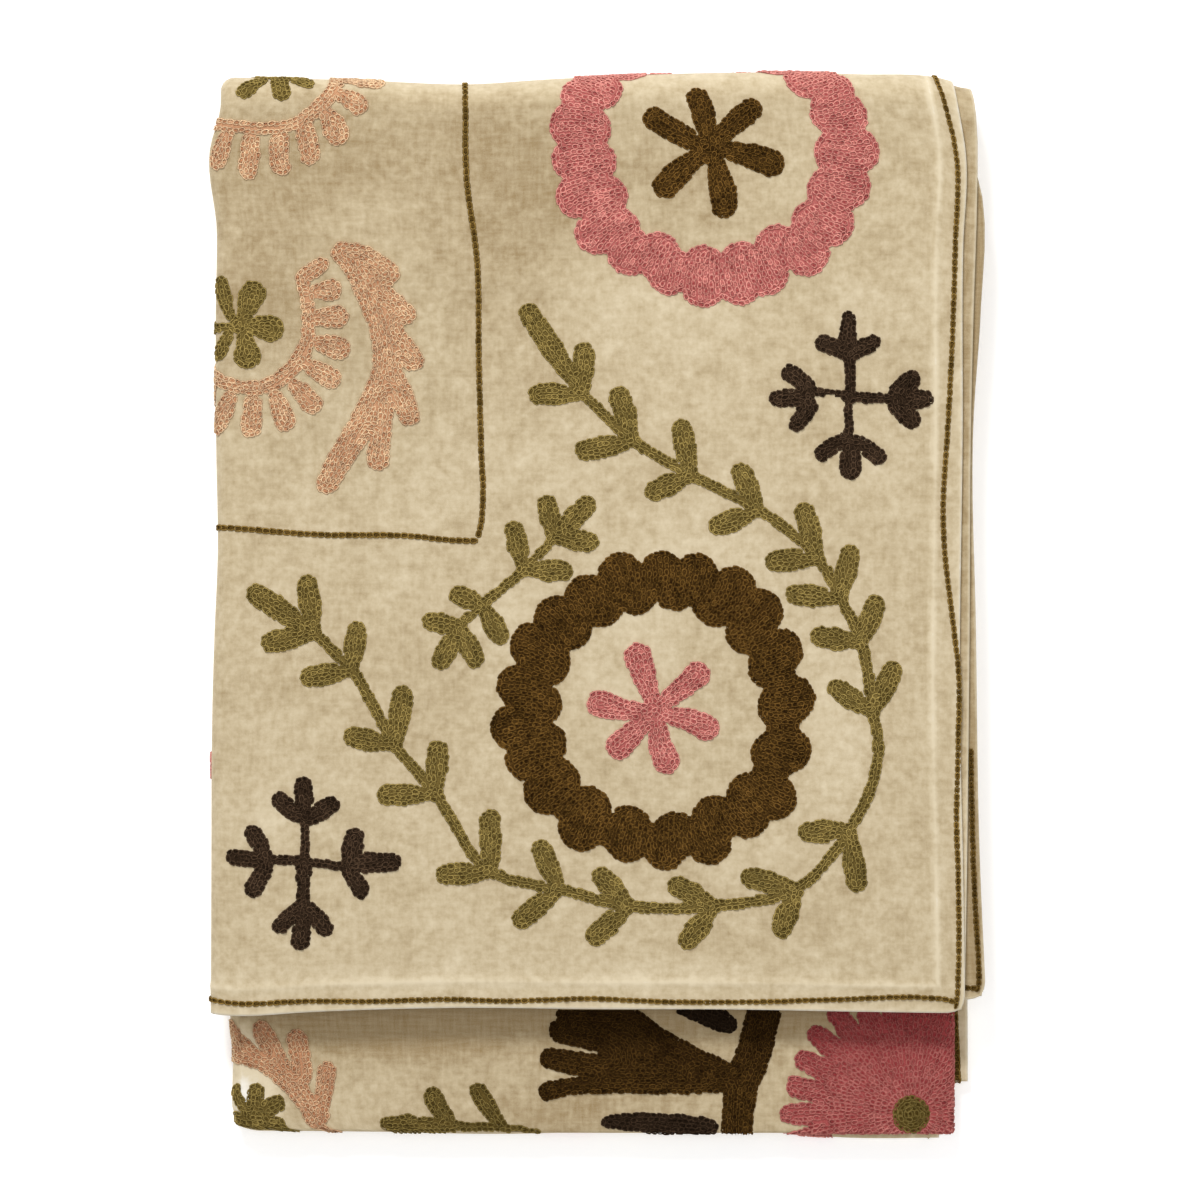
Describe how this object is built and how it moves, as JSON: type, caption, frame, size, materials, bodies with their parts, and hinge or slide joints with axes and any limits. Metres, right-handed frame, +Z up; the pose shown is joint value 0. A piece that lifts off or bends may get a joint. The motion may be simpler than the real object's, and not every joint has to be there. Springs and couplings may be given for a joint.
{
  "type": "folded embroidered velvet throw",
  "caption": "Velvet throw with double-turned hems and a chain-stitched flower and vine pattern, folded flat into a rectangular bundle with its open hems to the right.",
  "frame": {"origin": "middle of the bundle's outline, on the surface it lies on", "axes": "+Z up; +Y along the bundle's length, from the hem end towards the top fold; +X towards the open side hems"},
  "size_m": [0.3342, 0.4622, 0.0294],
  "materials": {
    "velvet": "sand cotton velvet, pressed pile with a mottled nap",
    "dark_olive_thread": "matt cotton chain stitch",
    "olive_thread": "matt cotton chain stitch",
    "rose_thread": "matt cotton chain stitch",
    "salmon_thread": "matt cotton chain stitch",
    "brown_black_thread": "matt cotton chain stitch"
  },
  "bodies": {
    "root": {"velvet_throw": "velvet"}
  },
  "joints": []
}
